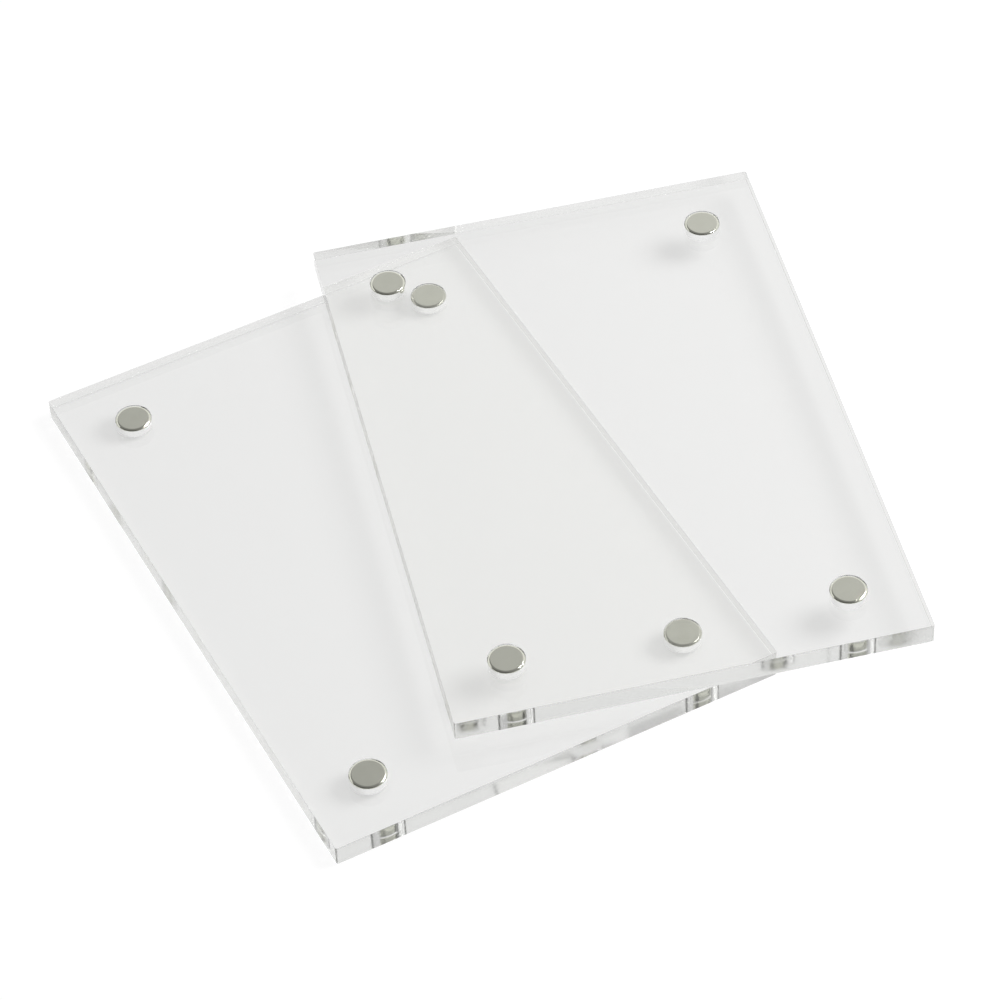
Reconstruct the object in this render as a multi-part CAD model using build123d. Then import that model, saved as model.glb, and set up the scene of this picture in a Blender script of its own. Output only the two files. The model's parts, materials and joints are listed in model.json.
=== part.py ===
from build123d import *
import os

# A magnetic block frame, opened: a clear front panel lies shifted and turned on a clear rear panel.
# Sizes are in millimetres. The origin is the centre of the rear panel's underside, and +Z is up.

# The two panels are alike
panel_width = 64.0
panel_length = 91.0
panel_thickness = 3.0
panel_corner_radius = 0.3
panel_edge_break = 0.15

# Disc magnets near the panel's four corners
magnet_diameter = 5.0
magnet_thickness = 2.0
magnet_rim_radius = 0.4
magnet_side_inset = 9.0
magnet_end_inset = 9.0
magnet_standout = 0.1

# Each magnet sits on a film of glue in a blind pocket
pocket_wall_clearance = 0.1
glue_thickness = 0.1

# How the front panel lies on the rear magnets
front_shift_right = 31.6
front_shift_forward = 1.0
front_turn_clockwise = 14.5
front_running_clearance = 0.05

# Sizes that follow from those above
glue_diameter = magnet_diameter - 2 * magnet_rim_radius
magnet_underside = panel_thickness + magnet_standout - magnet_thickness
pocket_floor = magnet_underside - glue_thickness
pocket_diameter = magnet_diameter + 2 * pocket_wall_clearance
front_underside = panel_thickness + magnet_standout + front_running_clearance

# The magnet centres, named as seen from the front edge
magnet_x = panel_width / 2 - magnet_side_inset
magnet_y = panel_length / 2 - magnet_end_inset
magnet_places = {
    "back_left": (-magnet_x, magnet_y),
    "back_right": (magnet_x, magnet_y),
    "front_left": (-magnet_x, -magnet_y),
    "front_right": (magnet_x, -magnet_y),
}

upward = (Align.CENTER, Align.CENTER, Align.MIN)


def make_panel():
    """A plate with rounded corners, broken edges and a blind pocket for each magnet."""
    outline = RectangleRounded(panel_width, panel_length, panel_corner_radius)
    plate = extrude(outline, amount=panel_thickness)
    lower_face = plate.faces().sort_by(Axis.Z)[0]
    upper_face = plate.faces().sort_by(Axis.Z)[-1]
    plate = chamfer(lower_face.edges() + upper_face.edges(), length=panel_edge_break)
    pocket = Cylinder(pocket_diameter / 2, panel_thickness, align=upward)
    for x, y in magnet_places.values():
        plate -= Pos(x, y, pocket_floor) * pocket
    return plate


def make_magnet():
    """A disc with both rims rounded, standing on its flat underside."""
    disc = Cylinder(magnet_diameter / 2, magnet_thickness, align=upward)
    return fillet(disc.edges().filter_by(GeomType.CIRCLE), radius=magnet_rim_radius)


def make_glue():
    """The film under a magnet, as wide as the flat of the magnet's underside."""
    return Cylinder(glue_diameter / 2, glue_thickness, align=upward)


def write_panel(name, place):
    """Writes one panel with its magnets and their glue, each piece in a file of its own."""
    pieces = {f"{name}_panel": make_panel()}
    for corner, (x, y) in magnet_places.items():
        pieces[f"{name}_magnet_{corner}"] = Pos(x, y, magnet_underside) * make_magnet()
        pieces[f"{name}_glue_{corner}"] = Pos(x, y, pocket_floor) * make_glue()
    for node, piece in pieces.items():
        export_step(place * piece, f"parts/{node}.step")


rear_place = Location((0, 0, 0))
front_place = Location(
    (front_shift_right, -front_shift_forward, front_underside),
    (0, 0, -front_turn_clockwise),
)

os.makedirs("parts", exist_ok=True)
write_panel("rear", rear_place)
write_panel("front", front_place)
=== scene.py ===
import json
import math

import bmesh
import bpy
from mathutils import Matrix, Vector


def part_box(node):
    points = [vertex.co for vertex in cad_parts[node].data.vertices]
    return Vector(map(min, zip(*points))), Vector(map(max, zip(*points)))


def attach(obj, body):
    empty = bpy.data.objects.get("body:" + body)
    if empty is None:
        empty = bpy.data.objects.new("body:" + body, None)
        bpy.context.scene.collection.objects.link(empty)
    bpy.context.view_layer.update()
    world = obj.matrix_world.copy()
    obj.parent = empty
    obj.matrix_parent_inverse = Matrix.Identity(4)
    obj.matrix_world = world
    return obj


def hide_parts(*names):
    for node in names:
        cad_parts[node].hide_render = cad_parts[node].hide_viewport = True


# A magnetic block frame, opened: a clear front panel lies shifted and turned on a clear rear panel.
# Everything is in metres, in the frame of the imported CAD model.
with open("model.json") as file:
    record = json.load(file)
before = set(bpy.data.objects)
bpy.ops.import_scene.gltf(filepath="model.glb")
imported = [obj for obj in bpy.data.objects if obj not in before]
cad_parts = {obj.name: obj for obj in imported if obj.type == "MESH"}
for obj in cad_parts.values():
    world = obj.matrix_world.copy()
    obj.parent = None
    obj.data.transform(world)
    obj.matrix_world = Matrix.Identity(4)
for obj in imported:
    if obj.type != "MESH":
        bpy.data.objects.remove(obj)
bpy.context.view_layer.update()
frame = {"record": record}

MM = 0.001
QUARTER_TURN = math.radians(90)
CORNERS = ("back_left", "back_right", "front_left", "front_right")

# Panel shape
CORNER_RADIUS = 0.3 * MM
CORNER_STEPS = 10
EDGE_BREAK = 0.03 * MM
EDGE_BREAK_STEPS = 5

# Magnet pockets
POCKET_CLEARANCE = 0.03 * MM
POCKET_MOUTH_BREAK = 0.04 * MM
POCKET_FACETS = 128

# Disc magnets and their glue films
MAGNET_RIM_RADIUS = 0.4 * MM
MAGNET_RIM_STEPS = 8
GLUE_RIM_RADIUS = 0.035 * MM
GLUE_RIM_STEPS = 3
GLUE_LIFT = 0.01 * MM
DISC_FACETS = 128
DISC_SEAM = 0.001 * MM
DISC_FLAT_UPRIGHT = 0.9999

# The outer two of a disc profile's four corners, by their place in the curve
RIM_CORNERS_MIDDLE = 1.5
RIM_CORNERS_REACH = 1.0

# Noise patterns: how fine they are, and the part of their range that shows
BROAD = 1.0
FINE = 2.0
GRAINY = 3.0
NOISE_LOW = 0.3
NOISE_HIGH = 0.7

# Clear materials
ACRYLIC_IOR = 1.49
GLUE_IOR = 1.45

# Polished faces, with hairlines and a slight wave
FACE_TINT = (0.999, 1.0, 0.992, 1.0)
FACE_PASSES = 1.0
FACE_HAIRLINES = (5200.0, 130.0, 130.0)
FACE_HAIRLINE_TURN = 0.5
FACE_HAIRLINES_FROM = 0.66
FACE_HAIRLINES_FULL = 0.78
FACE_LEAST_HAZE = 0.0
FACE_MOST_HAZE = 0.03
FACE_WAVE_SCALE = 70.0
FACE_WAVE_STRENGTH = 0.02
FACE_WAVE_DEPTH = 0.1 * MM

# Polished edges, with buffing marks and a fine ripple; their tint is greyer than the faces', a painted
# shade on the edge walls
EDGE_TINT_WITH_PAINTED_SHADE = (0.875, 0.88, 0.865, 1.0)
EDGE_PASSES = 0.43
EDGE_BUFFING = (900.0, 900.0, 5200.0)
EDGE_BUFFING_FROM = 0.35
EDGE_LEAST_HAZE = 0.05
EDGE_MOST_HAZE = 0.13
EDGE_RIPPLE_SCALE = 240.0
EDGE_RIPPLE_STRENGTH = 0.015
EDGE_RIPPLE_DEPTH = 0.1 * MM

# Milled pockets, with the cutter's rings
POCKET_TINT = (0.98, 0.985, 0.975, 1.0)
POCKET_CUTTER_MARKS = (300.0, 300.0, 9000.0)
POCKET_LEAST_HAZE = 0.02
POCKET_MOST_HAZE = 0.12
POCKET_MARK_STRENGTH = 0.1
POCKET_MARK_DEPTH = 0.02 * MM

# Nickel plate, with a faint blush and a tumbled satin
NICKEL_DEEP = (0.67, 0.675, 0.59, 1.0)
NICKEL_PALE = (0.74, 0.745, 0.66, 1.0)
NICKEL_BLUSH_SCALE = 700.0
NICKEL_TUMBLING_SCALE = 5200.0
NICKEL_LEAST_SATIN = 0.09
NICKEL_MOST_SATIN = 0.16
NICKEL_TUMBLING_STRENGTH = 0.12
NICKEL_TUMBLING_DEPTH = 0.01 * MM

# Set glue, clouded by small bubbles
GLUE_TINT = (0.86, 0.87, 0.84, 1.0)
GLUE_CLEARNESS = 0.5
GLUE_BUBBLE_SCALE = 3200.0
GLUE_LEAST_SATIN = 0.2
GLUE_MOST_SATIN = 0.5
GLUE_BUBBLE_STRENGTH = 0.3
GLUE_BUBBLE_DEPTH = 0.02 * MM

# Camera of the photograph
CAMERA_TARGET = Vector((15.10, 0.06, 0.0)) * MM
CAMERA_AZIMUTH = math.radians(-25.432)
CAMERA_ELEVATION = math.radians(46.629)
CAMERA_ROLL = math.radians(-3.178)
CAMERA_DISTANCE = 549.24 * MM
CAMERA_LENS = 145.2
CAMERA_SENSOR = 36.0
CAMERA_NEAREST = 0.01
CAMERA_FURTHEST = 50.0

# White sweep: paper whose wall stands behind the object and opens toward the camera
SWEEP_FLOOR_LEVEL = -0.15 * MM
SWEEP_FLOOR_RADIUS = 1.8
SWEEP_BEND_RADIUS = 0.5
SWEEP_BEND_STEPS = 12
SWEEP_WALL_HEIGHT = 1.8
SWEEP_WALL_MIDDLE = QUARTER_TURN + CAMERA_AZIMUTH
SWEEP_WALL_FULL_TO = math.radians(75)
SWEEP_WALL_ENDS_AT = math.radians(105)
SWEEP_LEAST_RISE = 0.02
SWEEP_FACETS = 96
SWEEP_SHADE = 0.26
SWEEP_WHITE = 0.86
SWEEP_WHITE_IN_METAL = 1.0
# Seen through the glass the paper glows dimmer than seen straight on: painted shade that greys the floor
# under the panels
SWEEP_WHITE_WITH_PAINTED_SHADE_IN_GLASS = 0.63

# Dim room, brighter at the back right and darker at the front left
ROOM_BRIGHT_SIDE = Vector((0.83, 0.556, 0.0))
ROOM_DARK_SHARE = 0.45
ROOM_DARK_UP_TO = -0.5
ROOM_DARK_FADES_AT = -0.15
ROOM_DIM = 0.275
ROOM_DIM_UP_TO = 0.40
ROOM_BRIGHT = 0.90
ROOM_BRIGHT_FROM = 0.757
ROOM_WHITE = 1.0
ROOM_DIM_IN_GLASS = 0.52
ROOM_DIM_IN_GLASS_UP_TO = 0.0
ROOM_BRIGHT_IN_GLASS = 0.87
ROOM_BRIGHT_IN_GLASS_FROM = 0.59

# One soft lamp on the right
LAMP_DIRECTION = Vector((0.648, -0.154, 0.748))
LAMP_DISTANCE = 0.5
LAMP_RADIUS = 0.1375
LAMP_POWER = 1.875

# Light paths: the bounces that are followed, and counts set halfway between whole numbers
LIGHT_BOUNCES = 64
NO_PAPER_YET = 0.5
ONE_MIRROR_AT_MOST = 1.5
THREE_SURFACES_OR_MORE = 2.5
WHITE = (1.0, 1.0, 1.0, 1.0)


# Places in the CAD model
def middle(node):
    low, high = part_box(node)
    return (low + high) / 2


def foot_of(node):
    foot = middle(node)
    foot.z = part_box(node)[0].z
    return foot


# Node helpers
def place_node(tree, kind, inputs=None, **settings):
    made = tree.nodes.new(kind)
    for key, value in settings.items():
        setattr(made, key, value)
    for key, value in (inputs or {}).items():
        made.inputs[key].default_value = value
    return made


def join(tree, source, output, target, entry):
    tree.links.new(source.outputs[output], target.inputs[entry])


def new_material(name):
    material = bpy.data.materials.new(name)
    material.use_nodes = True
    tree = material.node_tree
    tree.nodes.clear()
    out = place_node(tree, "ShaderNodeOutputMaterial")
    return material, tree, out


def object_noise(tree, detail, scale=1.0, stretch=(1.0, 1.0, 1.0), turn=0.0):
    where = place_node(tree, "ShaderNodeTexCoord")
    turned = place_node(tree, "ShaderNodeMapping", {"Scale": stretch, "Rotation": (0.0, 0.0, turn)})
    noise = place_node(tree, "ShaderNodeTexNoise", {"Scale": scale, "Detail": detail})
    join(tree, where, "Object", turned, "Vector")
    join(tree, turned, "Vector", noise, "Vector")
    return noise


def spread(tree, source, output, low, high, to_low, to_high):
    ranged = place_node(
        tree,
        "ShaderNodeMapRange",
        {"From Min": low, "From Max": high, "To Min": to_low, "To Max": to_high},
    )
    join(tree, source, output, ranged, "Value")
    return ranged


def clear_shader(tree, tint, ior, clearness=1.0):
    values = {"Base Color": tint, "IOR": ior, "Transmission Weight": clearness}
    return place_node(tree, "ShaderNodeBsdfPrincipled", values)


def roughen(tree, shader, noise, low, high, least, most):
    ranged = spread(tree, noise, "Fac", low, high, least, most)
    join(tree, ranged, "Result", shader, "Roughness")


def add_bump(tree, shader, noise, strength, depth):
    bump = place_node(tree, "ShaderNodeBump", {"Strength": strength, "Distance": depth})
    join(tree, noise, "Fac", bump, "Height")
    join(tree, bump, "Normal", shader, "Normal")


def let_lamp_through(tree, shader, share, out):
    """Acrylic bends what is seen in it, and passes a share of the lamp's light straight on."""
    path = place_node(tree, "ShaderNodeLightPath")
    clear = place_node(tree, "ShaderNodeBsdfTransparent", {"Color": (share, share, share, 1.0)})
    mixed = place_node(tree, "ShaderNodeMixShader")
    join(tree, path, "Is Shadow Ray", mixed, 0)
    join(tree, shader, "BSDF", mixed, 1)
    join(tree, clear, "BSDF", mixed, 2)
    join(tree, mixed, "Shader", out, "Surface")


# Finishes
def polished_acrylic_face():
    material, tree, out = new_material("polished_acrylic_face")
    shader = clear_shader(tree, FACE_TINT, ACRYLIC_IOR)
    hairlines = object_noise(tree, FINE, stretch=FACE_HAIRLINES, turn=FACE_HAIRLINE_TURN)
    haze = (FACE_LEAST_HAZE, FACE_MOST_HAZE)
    roughen(tree, shader, hairlines, FACE_HAIRLINES_FROM, FACE_HAIRLINES_FULL, *haze)
    waviness = object_noise(tree, BROAD, scale=FACE_WAVE_SCALE)
    add_bump(tree, shader, waviness, FACE_WAVE_STRENGTH, FACE_WAVE_DEPTH)
    let_lamp_through(tree, shader, FACE_PASSES, out)
    return material


def polished_acrylic_edge():
    material, tree, out = new_material("polished_acrylic_edge")
    # The edge walls take a greyer tint than the faces: painted shade
    shader = clear_shader(tree, EDGE_TINT_WITH_PAINTED_SHADE, ACRYLIC_IOR)
    buffing = object_noise(tree, FINE, stretch=EDGE_BUFFING)
    roughen(tree, shader, buffing, EDGE_BUFFING_FROM, NOISE_HIGH, EDGE_LEAST_HAZE, EDGE_MOST_HAZE)
    ripple = object_noise(tree, BROAD, scale=EDGE_RIPPLE_SCALE)
    add_bump(tree, shader, ripple, EDGE_RIPPLE_STRENGTH, EDGE_RIPPLE_DEPTH)
    let_lamp_through(tree, shader, EDGE_PASSES, out)
    return material


def milled_acrylic_pocket():
    material, tree, out = new_material("milled_acrylic_pocket")
    shader = clear_shader(tree, POCKET_TINT, ACRYLIC_IOR)
    cutter_marks = object_noise(tree, BROAD, stretch=POCKET_CUTTER_MARKS)
    roughen(tree, shader, cutter_marks, NOISE_LOW, NOISE_HIGH, POCKET_LEAST_HAZE, POCKET_MOST_HAZE)
    add_bump(tree, shader, cutter_marks, POCKET_MARK_STRENGTH, POCKET_MARK_DEPTH)
    join(tree, shader, "BSDF", out, "Surface")
    return material


def nickel_plate():
    material, tree, out = new_material("nickel_plate")
    shader = place_node(tree, "ShaderNodeBsdfPrincipled", {"Metallic": 1.0})
    blush = object_noise(tree, GRAINY, scale=NICKEL_BLUSH_SCALE)
    tint = place_node(tree, "ShaderNodeMix", data_type="RGBA")
    tint.inputs["A"].default_value = NICKEL_DEEP
    tint.inputs["B"].default_value = NICKEL_PALE
    join(tree, blush, "Fac", tint, "Factor")
    join(tree, tint, "Result", shader, "Base Color")
    tumbling = object_noise(tree, GRAINY, scale=NICKEL_TUMBLING_SCALE)
    roughen(tree, shader, tumbling, NOISE_LOW, NOISE_HIGH, NICKEL_LEAST_SATIN, NICKEL_MOST_SATIN)
    add_bump(tree, shader, tumbling, NICKEL_TUMBLING_STRENGTH, NICKEL_TUMBLING_DEPTH)
    join(tree, shader, "BSDF", out, "Surface")
    return material


def set_glue():
    material, tree, out = new_material("set_glue")
    shader = clear_shader(tree, GLUE_TINT, GLUE_IOR, GLUE_CLEARNESS)
    bubbles = object_noise(tree, FINE, scale=GLUE_BUBBLE_SCALE)
    roughen(tree, shader, bubbles, NOISE_LOW, NOISE_HIGH, GLUE_LEAST_SATIN, GLUE_MOST_SATIN)
    add_bump(tree, shader, bubbles, GLUE_BUBBLE_STRENGTH, GLUE_BUBBLE_DEPTH)
    join(tree, shader, "BSDF", out, "Surface")
    return material


def seen_in_glass(tree):
    """1 for a look through the glass from the camera, 0 for the light that falls through it."""
    path = place_node(tree, "ShaderNodeLightPath")
    before_paper = place_node(tree, "ShaderNodeMath", {1: NO_PAPER_YET}, operation="LESS_THAN")
    join(tree, path, "Diffuse Depth", before_paper, 0)
    look = place_node(tree, "ShaderNodeMath", operation="MULTIPLY")
    join(tree, path, "Is Transmission Ray", look, 0)
    join(tree, before_paper, "Value", look, 1)
    return look


def seen_past_discs(tree):
    """The look through the glass, less what a disc under the front panel mirrors back through it."""
    path = place_node(tree, "ShaderNodeLightPath")
    back_through = place_node(
        tree, "ShaderNodeMath", {1: THREE_SURFACES_OR_MORE}, operation="GREATER_THAN"
    )
    join(tree, path, "Transmission Depth", back_through, 0)
    one_mirror = place_node(tree, "ShaderNodeMath", {1: ONE_MIRROR_AT_MOST}, operation="LESS_THAN")
    join(tree, path, "Glossy Depth", one_mirror, 0)
    in_disc = place_node(tree, "ShaderNodeMath", operation="MULTIPLY")
    join(tree, back_through, "Value", in_disc, 0)
    join(tree, one_mirror, "Value", in_disc, 1)
    past = place_node(tree, "ShaderNodeMath", operation="SUBTRACT", use_clamp=True)
    join(tree, seen_in_glass(tree), "Value", past, 0)
    join(tree, in_disc, "Value", past, 1)
    return past


def add_scaled(tree, source, output, amount, total=None):
    part = place_node(tree, "ShaderNodeMath", {1: amount}, operation="MULTIPLY")
    join(tree, source, output, part, 0)
    if total is None:
        return part
    added = place_node(tree, "ShaderNodeMath", operation="ADD")
    join(tree, total, "Value", added, 0)
    join(tree, part, "Value", added, 1)
    return added


def white_sweep_paper():
    material, tree, out = new_material("white_sweep_paper")
    shade = place_node(tree, "ShaderNodeBsdfDiffuse", {"Color": (SWEEP_SHADE,) * 3 + (1.0,)})
    path = place_node(tree, "ShaderNodeLightPath")
    in_metal = place_node(tree, "ShaderNodeMath", operation="GREATER_THAN")
    join(tree, path, "Is Glossy Ray", in_metal, 0)
    join(tree, path, "Is Transmission Ray", in_metal, 1)
    in_glass = seen_in_glass(tree)
    white = add_scaled(tree, path, "Is Camera Ray", SWEEP_WHITE)
    white = add_scaled(tree, in_metal, "Value", SWEEP_WHITE_IN_METAL, white)
    # Dimmer glow for looks through the glass: painted shade on the floor under the panels
    white = add_scaled(tree, in_glass, "Value", SWEEP_WHITE_WITH_PAINTED_SHADE_IN_GLASS, white)
    glow = place_node(tree, "ShaderNodeEmission", {"Color": WHITE})
    join(tree, white, "Value", glow, "Strength")
    both = place_node(tree, "ShaderNodeAddShader")
    join(tree, shade, "BSDF", both, 0)
    join(tree, glow, "Emission", both, 1)
    join(tree, both, "Shader", out, "Surface")
    return material


# Panels
def rounded_rectangle(width, length, radius):
    points = []
    for quarter, (sx, sy) in enumerate(((1, 1), (-1, 1), (-1, -1), (1, -1))):
        centre = Vector((sx * (width / 2 - radius), sy * (length / 2 - radius)))
        for step in range(CORNER_STEPS + 1):
            angle = QUARTER_TURN * quarter + QUARTER_TURN * step / CORNER_STEPS
            points.append(centre + radius * Vector((math.cos(angle), math.sin(angle))))
    return points


def circle(centre, radius):
    steps = [2 * math.pi * step / POCKET_FACETS for step in range(POCKET_FACETS)]
    return [centre + radius * Vector((math.cos(angle), math.sin(angle))) for angle in steps]


def add_ring(bm, points, level):
    return [bm.verts.new((point.x, point.y, level)) for point in points]


def ring_edges(bm, ring):
    pairs = zip(ring, ring[1:] + ring[:1])
    return [bm.edges.get(pair) or bm.edges.new(pair) for pair in pairs]


def bridge(bm, lower, upper, finish):
    faces = []
    count = len(lower)
    for step in range(count):
        after = (step + 1) % count
        face = bm.faces.new((lower[step], lower[after], upper[after], upper[step]))
        face.material_index = finish
        face.smooth = True
        faces.append(face)
    return faces


def edge_break_profile(thickness):
    rows = []
    for step in range(EDGE_BREAK_STEPS + 1):
        angle = QUARTER_TURN * step / EDGE_BREAK_STEPS
        rows.append((EDGE_BREAK * (1 - math.sin(angle)), EDGE_BREAK * (1 - math.cos(angle))))
    return rows + [(inset, thickness - level) for inset, level in reversed(rows)]


def add_edge_band(bm, size, finish):
    """The panel's sides with their broken edges; the lowest and highest outlines are handed back."""
    width, length, thickness = size
    rings = []
    for inset, level in edge_break_profile(thickness):
        outline = rounded_rectangle(width - 2 * inset, length - 2 * inset, CORNER_RADIUS - inset)
        rings.append(add_ring(bm, outline, level))
    for row, (lower, upper) in enumerate(zip(rings, rings[1:])):
        for step, face in enumerate(bridge(bm, lower, upper, finish)):
            straight = step % (CORNER_STEPS + 1) == CORNER_STEPS
            if straight and row == EDGE_BREAK_STEPS:
                face.smooth = False
            if straight:
                after = (step + 1) % len(lower)
                bm.edges.get((lower[step], upper[step])).smooth = False
                bm.edges.get((lower[after], upper[after])).smooth = False
    return rings[0], rings[-1]


def add_pocket(bm, centre, radius, floor, top, finish):
    """A blind pocket with a broken mouth; the mouth's edges are handed back."""
    mouth = add_ring(bm, circle(centre, radius + POCKET_MOUTH_BREAK), top)
    lip = add_ring(bm, circle(centre, radius), top - POCKET_MOUTH_BREAK)
    foot = add_ring(bm, circle(centre, radius), floor)
    mouth_edges = ring_edges(bm, mouth)
    bridge(bm, mouth, lip, finish)
    bridge(bm, lip, foot, finish)
    for edge in ring_edges(bm, lip):
        edge.smooth = False
    pocket_bottom = bm.faces.new(foot)
    pocket_bottom.material_index = finish
    return mouth_edges


def make_panel(name, finishes, size, pockets, pocket_radius, pocket_floor, place):
    face_finish, edge_finish, pocket_finish = range(3)
    bm = bmesh.new()
    lowest, highest = add_edge_band(bm, size, edge_finish)
    underside = bm.faces.new(list(reversed(lowest)))
    underside.material_index = face_finish
    top_outline = ring_edges(bm, highest)
    for centre in pockets:
        top_outline += add_pocket(bm, centre, pocket_radius, pocket_floor, size.z, pocket_finish)
    filled = bmesh.ops.triangle_fill(bm, use_beauty=True, use_dissolve=False, edges=top_outline)
    for piece in filled["geom"]:
        if isinstance(piece, bmesh.types.BMFace):
            piece.material_index = face_finish
            piece.smooth = False
    bmesh.ops.recalc_face_normals(bm, faces=bm.faces[:])
    mesh = bpy.data.meshes.new(name)
    bm.to_mesh(mesh)
    bm.free()
    mesh.transform(place)
    for finish in finishes:
        mesh.materials.append(finish)
    panel = bpy.data.objects.new(name, mesh)
    bpy.context.scene.collection.objects.link(panel)
    return panel


# Magnets and glue films
def turned_disc_tree():
    """A disc with rounded rims: half its profile, turned about the axis and stood on its foot."""
    tree = bpy.data.node_groups.new("turned_disc", "GeometryNodeTree")
    entries = (
        ("Diameter", "NodeSocketFloat"),
        ("Thickness", "NodeSocketFloat"),
        ("Rim Radius", "NodeSocketFloat"),
        ("Rim Steps", "NodeSocketInt"),
        ("Facets", "NodeSocketInt"),
        ("Foot", "NodeSocketVector"),
        ("Finish", "NodeSocketMaterial"),
    )
    for label, kind in entries:
        tree.interface.new_socket(label, in_out="INPUT", socket_type=kind)
    tree.interface.new_socket("Disc", in_out="OUTPUT", socket_type="NodeSocketGeometry")
    given = place_node(tree, "NodeGroupInput")
    result = place_node(tree, "NodeGroupOutput")

    # The half profile, from the axis out to the rim
    quarter = place_node(tree, "ShaderNodeMath", {1: 0.25}, operation="MULTIPLY")
    join(tree, given, "Diameter", quarter, 0)
    inward = place_node(tree, "ShaderNodeMath", {1: -1.0}, operation="MULTIPLY")
    join(tree, quarter, "Value", inward, 0)
    profile = place_node(tree, "GeometryNodeCurvePrimitiveQuadrilateral", mode="POINTS")
    rise = place_node(tree, "ShaderNodeMath", {1: -1.0}, operation="MULTIPLY")
    join(tree, given, "Thickness", rise, 0)
    corners = ((inward, False), (quarter, False), (quarter, True), (inward, True))
    for number, (across, raised) in enumerate(corners, start=1):
        corner = place_node(tree, "ShaderNodeCombineXYZ")
        join(tree, across, "Value", corner, "X")
        if raised:
            join(tree, rise, "Value", corner, "Y")
        join(tree, corner, "Vector", profile, "Point %d" % number)

    # Only the two corners on the rim are rounded
    which = place_node(tree, "GeometryNodeInputIndex")
    from_rim = place_node(tree, "ShaderNodeMath", {1: RIM_CORNERS_MIDDLE}, operation="SUBTRACT")
    join(tree, which, "Index", from_rim, 0)
    distance = place_node(tree, "ShaderNodeMath", operation="ABSOLUTE")
    join(tree, from_rim, "Value", distance, 0)
    on_rim = place_node(tree, "ShaderNodeMath", {1: RIM_CORNERS_REACH}, operation="LESS_THAN")
    join(tree, distance, "Value", on_rim, 0)
    rim_radius = place_node(tree, "ShaderNodeMath", operation="MULTIPLY")
    join(tree, on_rim, "Value", rim_radius, 0)
    join(tree, given, "Rim Radius", rim_radius, 1)
    rounded = place_node(tree, "GeometryNodeFilletCurve", mode="POLY")
    join(tree, profile, "Curve", rounded, "Curve")
    join(tree, rim_radius, "Value", rounded, "Radius")
    join(tree, given, "Rim Steps", rounded, "Count")

    # The turning, closed at the axis
    path = place_node(tree, "GeometryNodeCurvePrimitiveCircle", mode="RADIUS")
    join(tree, given, "Facets", path, "Resolution")
    join(tree, quarter, "Value", path, "Radius")
    turned = place_node(tree, "GeometryNodeCurveToMesh")
    join(tree, path, "Curve", turned, "Curve")
    join(tree, rounded, "Curve", turned, "Profile Curve")
    closed = place_node(tree, "GeometryNodeMergeByDistance", {"Distance": DISC_SEAM})
    join(tree, turned, "Mesh", closed, "Geometry")

    # The bare edge left along the axis goes, and all but the flats is shaded smooth
    facing = place_node(tree, "GeometryNodeInputNormal")
    axes = place_node(tree, "ShaderNodeSeparateXYZ")
    join(tree, facing, "Normal", axes, "Vector")
    upright = place_node(tree, "ShaderNodeMath", operation="ABSOLUTE")
    join(tree, axes, "Z", upright, 0)
    round_part = place_node(tree, "ShaderNodeMath", {1: DISC_FLAT_UPRIGHT}, operation="LESS_THAN")
    join(tree, upright, "Value", round_part, 0)
    neighbours = place_node(tree, "GeometryNodeInputMeshEdgeNeighbors")
    bare = place_node(tree, "ShaderNodeMath", {1: 1.0}, operation="LESS_THAN")
    join(tree, neighbours, "Face Count", bare, 0)
    cleaned = place_node(tree, "GeometryNodeDeleteGeometry", domain="EDGE")
    join(tree, closed, "Geometry", cleaned, "Geometry")
    join(tree, bare, "Value", cleaned, "Selection")
    shaded = place_node(tree, "GeometryNodeSetShadeSmooth")
    join(tree, cleaned, "Geometry", shaded, "Geometry")
    join(tree, round_part, "Value", shaded, "Shade Smooth")

    # The place and the finish
    seated = place_node(tree, "GeometryNodeTransform")
    join(tree, shaded, "Geometry", seated, "Geometry")
    join(tree, given, "Foot", seated, "Translation")
    real = place_node(tree, "GeometryNodeRealizeInstances")
    join(tree, seated, "Geometry", real, "Geometry")
    finished = place_node(tree, "GeometryNodeSetMaterial")
    join(tree, real, "Geometry", finished, "Geometry")
    join(tree, given, "Finish", finished, "Material")
    join(tree, finished, "Geometry", result, "Disc")
    return tree


def turn_disc(name, tree, values):
    blank = bpy.data.objects.new(name + "_blank", bpy.data.meshes.new(name + "_blank"))
    bpy.context.scene.collection.objects.link(blank)
    turning = blank.modifiers.new("turning", "NODES")
    turning.node_group = tree
    for entry in tree.interface.items_tree:
        if entry.in_out == "INPUT":
            turning[entry.identifier] = values[entry.name]
    seen = blank.evaluated_get(bpy.context.evaluated_depsgraph_get())
    mesh = bpy.data.meshes.new_from_object(seen)
    bpy.data.objects.remove(blank)
    bm = bmesh.new()
    bm.from_mesh(mesh)
    bmesh.ops.recalc_face_normals(bm, faces=bm.faces[:])
    bm.to_mesh(mesh)
    bm.free()
    mesh.name = name
    disc = bpy.data.objects.new(name, mesh)
    bpy.context.scene.collection.objects.link(disc)
    return disc


# Studio
def wall_share(turn):
    """How much of the paper's wall stands here: all of it at the back, a low lip on the camera's side."""
    off_middle = math.acos(math.cos(turn - SWEEP_WALL_MIDDLE))
    share = (SWEEP_WALL_ENDS_AT - off_middle) / (SWEEP_WALL_ENDS_AT - SWEEP_WALL_FULL_TO)
    return min(1.0, max(SWEEP_LEAST_RISE, share))


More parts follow.
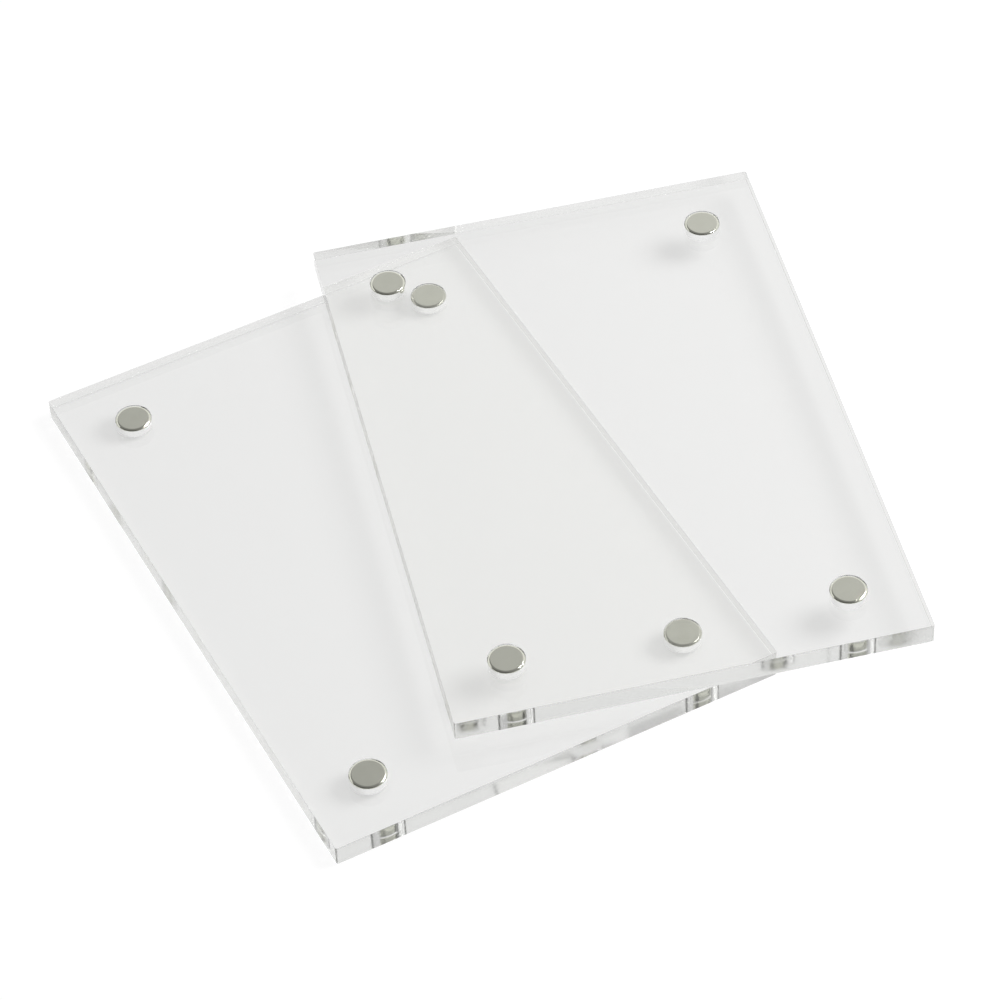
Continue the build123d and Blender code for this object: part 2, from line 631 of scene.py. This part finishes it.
def make_sweep(paper):
    profile = [(SWEEP_FLOOR_RADIUS, 0.0)]
    for step in range(1, SWEEP_BEND_STEPS + 1):
        angle = QUARTER_TURN * step / SWEEP_BEND_STEPS
        out = SWEEP_FLOOR_RADIUS + SWEEP_BEND_RADIUS * math.sin(angle)
        profile.append((out, SWEEP_BEND_RADIUS * (1 - math.cos(angle))))
    profile.append((SWEEP_FLOOR_RADIUS + SWEEP_BEND_RADIUS, SWEEP_WALL_HEIGHT))
    bm = bmesh.new()
    heart = bm.verts.new((0.0, 0.0, SWEEP_FLOOR_LEVEL))
    rows = []
    for out, rise in profile:
        row = []
        for step in range(SWEEP_FACETS):
            turn = 2 * math.pi * step / SWEEP_FACETS
            level = SWEEP_FLOOR_LEVEL + rise * wall_share(turn)
            row.append(bm.verts.new((out * math.cos(turn), out * math.sin(turn), level)))
        rows.append(row)
    for step in range(SWEEP_FACETS):
        after = (step + 1) % SWEEP_FACETS
        bm.faces.new((heart, rows[0][step], rows[0][after]))
        for lower, upper in zip(rows, rows[1:]):
            face = bm.faces.new((lower[step], upper[step], upper[after], lower[after]))
            face.smooth = True
    mesh = bpy.data.meshes.new("white_sweep")
    bm.to_mesh(mesh)
    bm.free()
    mesh.materials.append(paper)
    sweep = bpy.data.objects.new("white_sweep", mesh)
    bpy.context.scene.collection.objects.link(sweep)


def light_room():
    world = bpy.data.worlds.new("dim_room")
    bpy.context.scene.world = world
    world.use_nodes = True
    tree = world.node_tree
    tree.nodes.clear()
    out = place_node(tree, "ShaderNodeOutputWorld")
    where = place_node(tree, "ShaderNodeTexCoord")
    toward = place_node(tree, "ShaderNodeVectorMath", {1: ROOM_BRIGHT_SIDE}, operation="DOT_PRODUCT")
    join(tree, where, "Generated", toward, 0)
    fading = spread(tree, toward, "Value", ROOM_DARK_UP_TO, ROOM_DARK_FADES_AT, ROOM_DARK_SHARE, 1.0)
    lit = spread(tree, toward, "Value", ROOM_DIM_UP_TO, ROOM_BRIGHT_FROM, ROOM_DIM, ROOM_BRIGHT)
    level = place_node(tree, "ShaderNodeMath", operation="MULTIPLY")
    join(tree, fading, "Result", level, 0)
    join(tree, lit, "Result", level, 1)
    path = place_node(tree, "ShaderNodeLightPath")
    in_camera = place_node(tree, "ShaderNodeMix", {"B": ROOM_WHITE})
    join(tree, path, "Is Camera Ray", in_camera, "Factor")
    join(tree, level, "Value", in_camera, "A")
    glass_level = spread(
        tree,
        toward,
        "Value",
        ROOM_DIM_IN_GLASS_UP_TO,
        ROOM_BRIGHT_IN_GLASS_FROM,
        ROOM_DIM_IN_GLASS,
        ROOM_BRIGHT_IN_GLASS,
    )
    in_glass = place_node(tree, "ShaderNodeMix")
    join(tree, seen_past_discs(tree), "Value", in_glass, "Factor")
    join(tree, glass_level, "Result", in_glass, "B")
    join(tree, in_camera, "Result", in_glass, "A")
    room = place_node(tree, "ShaderNodeBackground", {"Color": WHITE})
    join(tree, in_glass, "Result", room, "Strength")
    join(tree, room, "Background", out, "Surface")


def hang_lamp():
    data = bpy.data.lights.new("soft_lamp", "AREA")
    data.shape = "DISK"
    data.size = 2 * LAMP_RADIUS
    data.energy = LAMP_POWER
    data.cycles.use_multiple_importance_sampling = False
    lamp = bpy.data.objects.new("soft_lamp", data)
    aim = LAMP_DIRECTION.normalized()
    lamp.location = CAMERA_TARGET + aim * LAMP_DISTANCE
    lamp.rotation_euler = aim.to_track_quat("Z", "Y").to_euler()
    bpy.context.scene.collection.objects.link(lamp)


def set_camera():
    flat = math.cos(CAMERA_ELEVATION)
    back = Vector((
        math.sin(CAMERA_AZIMUTH) * flat,
        -math.cos(CAMERA_AZIMUTH) * flat,
        math.sin(CAMERA_ELEVATION),
    ))
    side = Vector((math.cos(CAMERA_AZIMUTH), math.sin(CAMERA_AZIMUTH), 0.0))
    turn = Matrix.Rotation(CAMERA_ROLL, 3, back)
    across = turn @ side
    up = back.cross(across)
    axes = Matrix((across, up, back)).transposed()
    data = bpy.data.cameras.new("photo_camera")
    data.lens = CAMERA_LENS
    data.sensor_width = CAMERA_SENSOR
    data.clip_start = CAMERA_NEAREST
    data.clip_end = CAMERA_FURTHEST
    camera = bpy.data.objects.new("photo_camera", data)
    camera.matrix_world = Matrix.Translation(CAMERA_TARGET + back * CAMERA_DISTANCE) @ axes.to_4x4()
    bpy.context.scene.collection.objects.link(camera)
    bpy.context.scene.camera = camera


def allow_long_paths():
    cycles = bpy.context.scene.cycles
    cycles.max_bounces = LIGHT_BOUNCES
    cycles.glossy_bounces = LIGHT_BOUNCES
    cycles.transmission_bounces = LIGHT_BOUNCES
    cycles.blur_glossy = 0.0


# The whole frame, set where the CAD model has its panels and magnets
def panel_place(side):
    spots = [middle("%s_magnet_%s" % (side, corner)) for corner in CORNERS]
    centre = sum(spots, Vector()) / len(spots)
    across = middle(side + "_magnet_front_right") - middle(side + "_magnet_front_left")
    foot = foot_of(side + "_panel")
    turn = Matrix.Rotation(math.atan2(across.y, across.x), 4, "Z")
    return Matrix.Translation((centre.x, centre.y, foot.z)) @ turn


def body_of_node(node):
    bodies = frame["record"]["behaviour"]["bodies"]
    return next(body for body, nodes in bodies.items() if node in nodes)


def dress(piece, node):
    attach(piece, body_of_node(node))
    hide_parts(node)


def build_frame():
    acrylic = (polished_acrylic_face(), polished_acrylic_edge(), milled_acrylic_pocket())
    nickel = nickel_plate()
    glue = set_glue()
    disc = turned_disc_tree()

    low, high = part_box("rear_panel")
    size = high - low
    glue_low, glue_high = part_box("rear_glue_back_left")
    magnet_low, magnet_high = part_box("rear_magnet_back_left")
    magnet_diameter = magnet_high.x - magnet_low.x
    pocket_radius = magnet_diameter / 2 + POCKET_CLEARANCE
    pocket_floor = glue_low.z - low.z
    spots = [middle("rear_magnet_" + corner).to_2d() for corner in CORNERS]

    for side in ("rear", "front"):
        node = side + "_panel"
        place = panel_place(side)
        panel = make_panel(
            "clear_" + node, acrylic, size, spots, pocket_radius, pocket_floor, place
        )
        dress(panel, node)
        for corner in CORNERS:
            node = "%s_magnet_%s" % (side, corner)
            magnet = turn_disc("nickel_" + node, disc, {
                "Diameter": magnet_diameter,
                "Thickness": magnet_high.z - magnet_low.z,
                "Rim Radius": MAGNET_RIM_RADIUS,
                "Rim Steps": MAGNET_RIM_STEPS,
                "Facets": DISC_FACETS,
                "Foot": foot_of(node),
                "Finish": nickel,
            })
            dress(magnet, node)
            node = "%s_glue_%s" % (side, corner)
            film = turn_disc("clear_" + node, disc, {
                "Diameter": glue_high.x - glue_low.x,
                "Thickness": glue_high.z - glue_low.z - GLUE_LIFT,
                "Rim Radius": GLUE_RIM_RADIUS,
                "Rim Steps": GLUE_RIM_STEPS,
                "Facets": DISC_FACETS,
                "Foot": foot_of(node) + Vector((0.0, 0.0, GLUE_LIFT)),
                "Finish": glue,
            })
            dress(film, node)


build_frame()
make_sweep(white_sweep_paper())
light_room()
hang_lamp()
set_camera()
allow_long_paths()
bpy.context.scene.view_settings.view_transform = "Standard"
